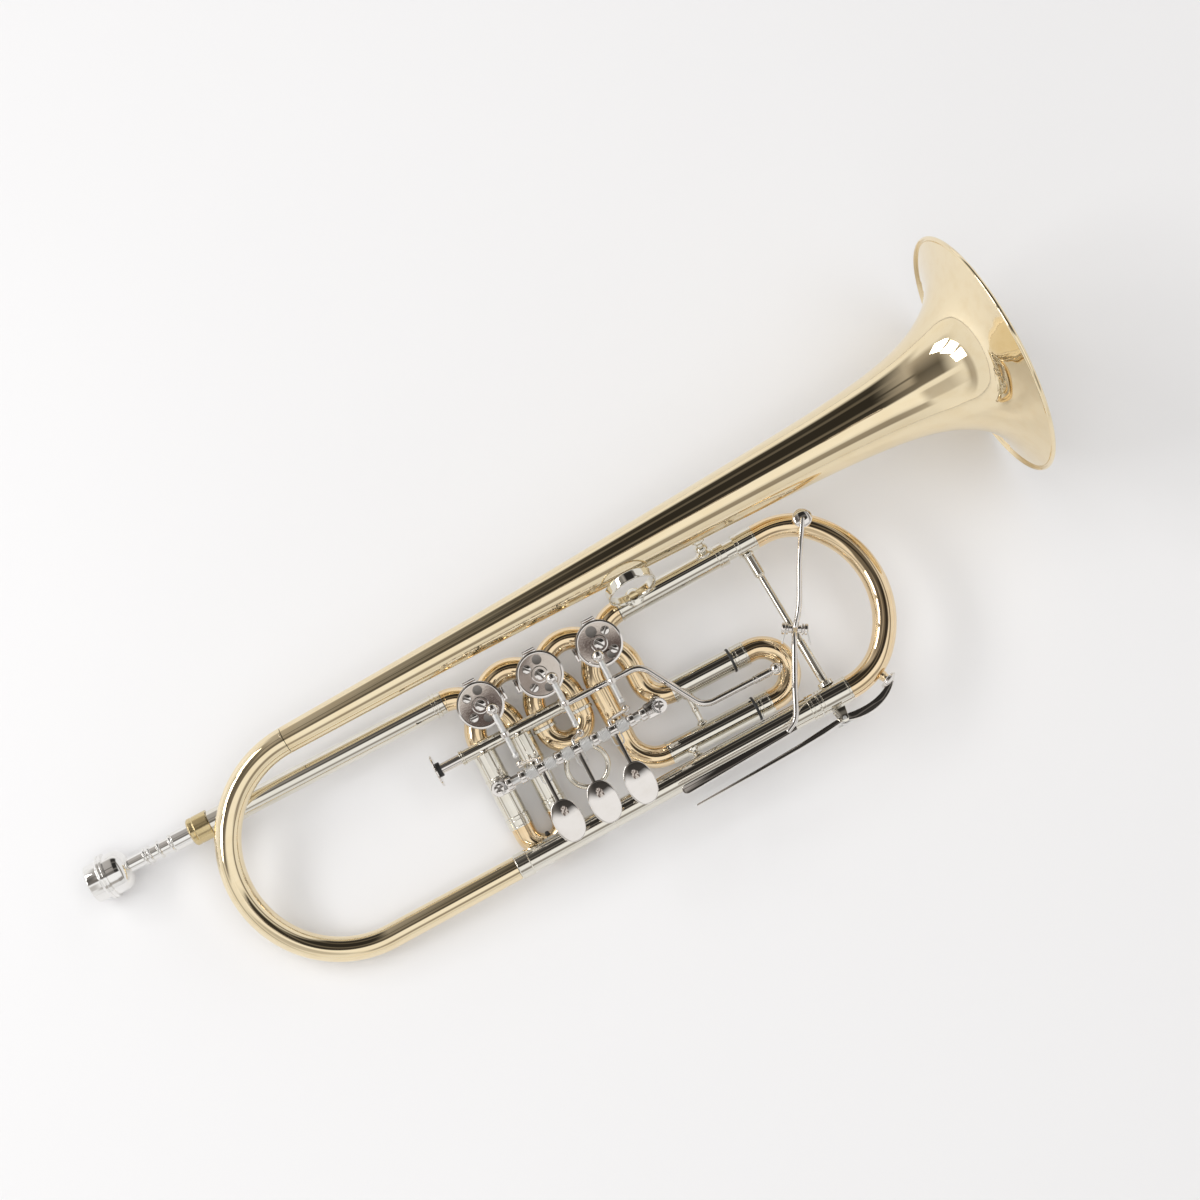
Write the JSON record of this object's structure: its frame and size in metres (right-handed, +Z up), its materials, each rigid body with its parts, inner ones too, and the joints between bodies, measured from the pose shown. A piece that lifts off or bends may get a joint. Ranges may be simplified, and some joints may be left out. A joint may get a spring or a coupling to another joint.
{
  "type": "rotary valve trumpet",
  "caption": "Rotary valve trumpet with finger levers, turning valve rotors, pull-out valve slides, a tuning slide with vent and water keys, a slide trigger and a removable mouthpiece.",
  "frame": {"origin": "middle of the bounding box on the surface that the trumpet lies on", "axes": "+X from the mouthpiece to the bell, +Z up, with the levers and the rotors' stop discs on top, +Y from the levers towards the bell tube"},
  "size_m": [0.5286, 0.1972, 0.1315],
  "materials": {
    "gold_brass": "polished, clear lacquer",
    "rose_brass": "polished rose brass, clear lacquer",
    "nickel_silver": "polished nickel silver, a copper alloy, clear lacquer",
    "polished_nickel": "mirror-polished nickel plating",
    "spring_steel": "satin",
    "silver_plate": "bright silver plating",
    "aged_brass": "bare brass, slightly tarnished"
  },
  "bodies": {
    "frame": {"bell": "gold_brass", "bell_bow": "gold_brass", "lower_slide_tube": "nickel_silver", "upper_slide_tube": "nickel_silver", "bell_stay": "nickel_silver", "finger_ring": "nickel_silver", "leadpipe": "nickel_silver", "mouthpiece_receiver": "aged_brass", "inlet_elbow": "rose_brass", "arch_1": "rose_brass", "arch_2": "rose_brass", "outlet_elbow": "rose_brass", "first_valve_tube_left": "nickel_silver", "first_valve_tube_right": "nickel_silver", "second_valve_tube_left": "nickel_silver", "second_valve_tube_right": "nickel_silver", "third_valve_tube_lower": "nickel_silver", "third_valve_tube_upper": "nickel_silver", "casing_1": "nickel_silver", "bottom_cap_1": "polished_nickel", "stop_plate_1": "polished_nickel", "casing_2": "nickel_silver", "bottom_cap_2": "polished_nickel", "stop_plate_2": "polished_nickel", "casing_3": "nickel_silver", "bottom_cap_3": "polished_nickel", "stop_plate_3": "polished_nickel", "lever_axle": "spring_steel", "lever_rail": "polished_nickel", "third_slide_brace": "nickel_silver", "trigger_guide": "nickel_silver", "lower_tube_stay": "nickel_silver"},
    "tuning_slide": {"tuning_slide": "rose_brass", "tuning_slide_brace": "nickel_silver", "water_key_saddle": "nickel_silver", "vent_key_bracket": "spring_steel"},
    "vent_key": {"vent_key": "polished_nickel"},
    "water_key": {"water_key": "polished_nickel", "water_key_spring": "spring_steel"},
    "first_slide": {"first_slide": "rose_brass"},
    "second_slide": {"second_slide": "rose_brass"},
    "third_slide": {"third_slide": "rose_brass", "trigger_rod": "polished_nickel"},
    "mouthpiece": {"mouthpiece": "silver_plate"},
    "lever_1": {"finger_lever_1": "polished_nickel", "lever_spring_1": "spring_steel"},
    "rotor_1": {"rotor_1": "nickel_silver", "stop_disc_1": "polished_nickel"},
    "rod_1": {"connecting_rod_1": "spring_steel"},
    "lever_2": {"finger_lever_2": "polished_nickel", "lever_spring_2": "spring_steel"},
    "rotor_2": {"rotor_2": "nickel_silver", "stop_disc_2": "polished_nickel"},
    "rod_2": {"connecting_rod_2": "spring_steel"},
    "lever_3": {"finger_lever_3": "polished_nickel", "lever_spring_3": "spring_steel"},
    "rotor_3": {"rotor_3": "nickel_silver", "stop_disc_3": "polished_nickel"},
    "rod_3": {"connecting_rod_3": "spring_steel"}
  },
  "joints": [
    {"name": "lever_1_press", "type": "hinge", "parent": "frame", "child": "lever_1", "pos_m": [-0.03475, -0.04942, 0.05316], "axis": [0.9978, -0.0075, 0.0657], "range_deg": [0, 34], "stiffness_Nm_per_rad": 0.05, "springref_deg": -20.05},
    {"name": "rotor_1_turn", "type": "hinge", "parent": "frame", "child": "rotor_1", "pos_m": [-0.04546, -0.00078, 0.0236], "axis": [-0.0657, -0.2254, 0.972], "range_deg": [0, 90.1]},
    {"name": "rod_1_swing", "type": "hinge", "parent": "rotor_1", "child": "rod_1", "pos_m": [-0.04242, -0.01014, 0.04323], "axis": [0.0365, -0.3222, 0.946], "range_deg": [-90.1, 0]},
    {"name": "lever_2_press", "type": "hinge", "parent": "frame", "child": "lever_2", "pos_m": [-0.01489, -0.04957, 0.05447], "axis": [0.9978, -0.0075, 0.0657], "range_deg": [0, 34], "stiffness_Nm_per_rad": 0.05, "springref_deg": -20.05},
    {"name": "rotor_2_turn", "type": "hinge", "parent": "frame", "child": "rotor_2", "pos_m": [-0.01193, -0.00103, 0.0258], "axis": [-0.0657, -0.2254, 0.972], "range_deg": [0, 90.1]},
    {"name": "rod_2_swing", "type": "hinge", "parent": "rotor_2", "child": "rod_2", "pos_m": [-0.00889, -0.01039, 0.04544], "axis": [0.0365, -0.3222, 0.946], "range_deg": [-90.1, 0]},
    {"name": "lever_3_press", "type": "hinge", "parent": "frame", "child": "lever_3", "pos_m": [0.00517, -0.04972, 0.05579], "axis": [0.9978, -0.0075, 0.0657], "range_deg": [0, 34], "stiffness_Nm_per_rad": 0.05, "springref_deg": -20.05},
    {"name": "rotor_3_turn", "type": "hinge", "parent": "frame", "child": "rotor_3", "pos_m": [0.02159, -0.00128, 0.02801], "axis": [-0.0657, -0.2254, 0.972], "range_deg": [-90.1, 0]},
    {"name": "rod_3_swing", "type": "hinge", "parent": "rotor_3", "child": "rod_3", "pos_m": [0.01667, -0.01137, 0.04694], "axis": [-0.165, -0.3207, 0.9327], "range_deg": [0, 90.1]},
    {"name": "first_slide_pull", "type": "slide", "parent": "frame", "child": "first_slide", "axis": [0.0075, -0.9742, -0.2254], "range_m": [0, 0.02]},
    {"name": "second_slide_pull", "type": "slide", "parent": "frame", "child": "second_slide", "axis": [0.0075, -0.9742, -0.2254], "range_m": [0, 0.006]},
    {"name": "third_slide_trigger", "type": "slide", "parent": "frame", "child": "third_slide", "axis": [0.9978, -0.0075, 0.0657], "range_m": [0, 0.0107], "stiffness_N_per_m": 120, "springref_m": -0.02},
    {"name": "tuning_slide_pull", "type": "slide", "parent": "frame", "child": "tuning_slide", "axis": [0.9975, 0.0095, 0.0696], "range_m": [0, 0.03]},
    {"name": "mouthpiece_pull", "type": "slide", "parent": "frame", "child": "mouthpiece", "axis": [-0.9978, 0.0075, -0.0657], "range_m": [0, 0.025]},
    {"name": "vent_key_press", "type": "hinge", "parent": "tuning_slide", "child": "vent_key", "pos_m": [0.11185, -0.04278, 0.0371], "axis": [0.8609, -0.5083, 0.0197], "range_deg": [0, 3.5], "stiffness_Nm_per_rad": 0.1, "springref_deg": -8.59},
    {"name": "water_key_press", "type": "hinge", "parent": "tuning_slide", "child": "water_key", "pos_m": [0.11273, -0.09346, 0.02858], "axis": [0.0687, 0.0778, -0.9946], "range_deg": [0, 5], "stiffness_Nm_per_rad": 0.1, "springref_deg": -8.59}
  ],
  "couplings": [
    {"joint": "rotor_1_turn", "follows": "lever_1_press", "ratio": 2.6471},
    {"joint": "rod_1_swing", "follows": "lever_1_press", "ratio": -2.6471},
    {"joint": "rotor_2_turn", "follows": "lever_2_press", "ratio": 2.6471},
    {"joint": "rod_2_swing", "follows": "lever_2_press", "ratio": -2.6471},
    {"joint": "rotor_3_turn", "follows": "lever_3_press", "ratio": -2.6471},
    {"joint": "rod_3_swing", "follows": "lever_3_press", "ratio": 2.6471}
  ]
}
